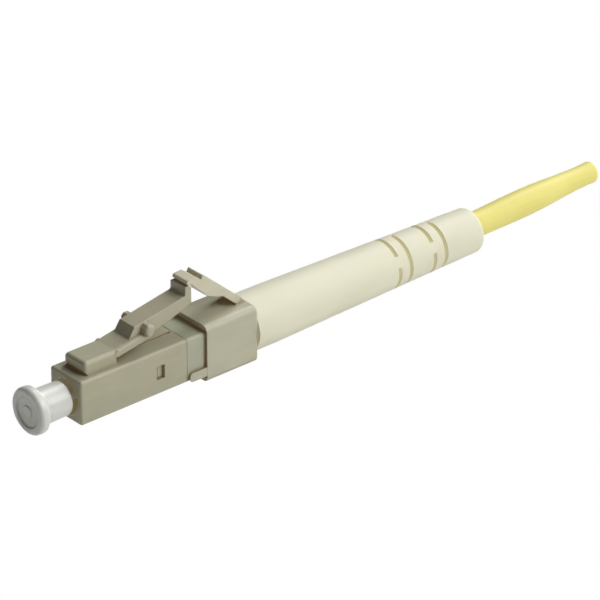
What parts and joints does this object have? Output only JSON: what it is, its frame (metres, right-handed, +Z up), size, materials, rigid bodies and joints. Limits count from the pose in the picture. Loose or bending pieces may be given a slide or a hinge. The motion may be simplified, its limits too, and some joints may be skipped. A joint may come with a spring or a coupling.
{
  "type": "fibre optic connector",
  "caption": "Small square-bodied fibre optic plug with a springy latch, an anti-snag trigger clip, a slotted bend-relief boot, a stub of yellow cord and a dust cap.",
  "frame": {"origin": "on the fibre's axis in the plane of the plug body's front face", "axes": "+X along the fibre toward the cord, +Z up toward the latch, +Y across"},
  "size_m": [0.0708, 0.0058, 0.0105],
  "materials": {
    "housing_beige": "satin beige moulding",
    "rear_beige": "satin moulding, slightly greener",
    "clip_beige": "satin beige moulding",
    "boot_ivory": "soft matt ivory elastomer",
    "jacket_yellow": "pale yellow cable jacket",
    "cap_white": "milky translucent polymer",
    "zirconia": "polished white zirconia ceramic",
    "flange_metal": "nickel-plated metal",
    "tube_clear": "natural polymer",
    "epoxy_amber": "cured amber epoxy",
    "spring_steel": "drawn spring steel wire",
    "aramid": "golden aramid yarn",
    "crimp_metal": "plated sleeve",
    "buffer_white": "tight buffer",
    "coating": "acrylate coating",
    "silica": "silica glass"
  },
  "bodies": {
    "plug": {"front_housing": "housing_beige", "rear_body": "rear_beige", "aramid_yarn": "aramid", "crimp_ring": "crimp_metal", "retaining_clip": "clip_beige", "boot": "boot_ivory", "cable_jacket": "jacket_yellow", "ferrule_spring": "spring_steel", "fibre_buffer": "buffer_white", "fibre_coating": "coating", "glass_fibre": "silica"},
    "ferrule_group": {"ferrule": "zirconia", "ferrule_flange": "flange_metal", "guide_tube": "tube_clear", "epoxy_fill": "epoxy_amber"},
    "cap": {"dust_cap": "cap_white"},
    "latch": {"latch_arm": "housing_beige"},
    "trigger": {"trigger_arm": "clip_beige"}
  },
  "joints": [
    {"name": "ferrule_float", "type": "slide", "parent": "plug", "child": "ferrule_group", "axis": [1, 0, 0], "range_m": [0, 0.001], "stiffness_N_per_m": 1200, "springref_m": -0.0035, "deforming": ["ferrule_spring", "fibre_buffer", "fibre_coating", "glass_fibre"]},
    {"name": "dust_cap_pull", "type": "slide", "parent": "ferrule_group", "child": "cap", "axis": [-1, 0, 0], "range_m": [0, 0.006]},
    {"name": "trigger_press", "type": "hinge", "parent": "plug", "child": "trigger", "pos_m": [0.01962, 0, 0.00344], "axis": [0, -1, 0], "range_deg": [0, 10], "stiffness_Nm_per_rad": 0.0001, "springref_deg": -17.19},
    {"name": "latch_flex", "type": "hinge", "parent": "plug", "child": "latch", "pos_m": [0.005, 0, 0.00324], "axis": [0, 1, 0], "range_deg": [0, 10], "stiffness_Nm_per_rad": 0.0002, "springref_deg": -17.19}
  ],
  "couplings": [
    {"joint": "latch_flex", "follows": "trigger_press", "ratio": 1}
  ]
}
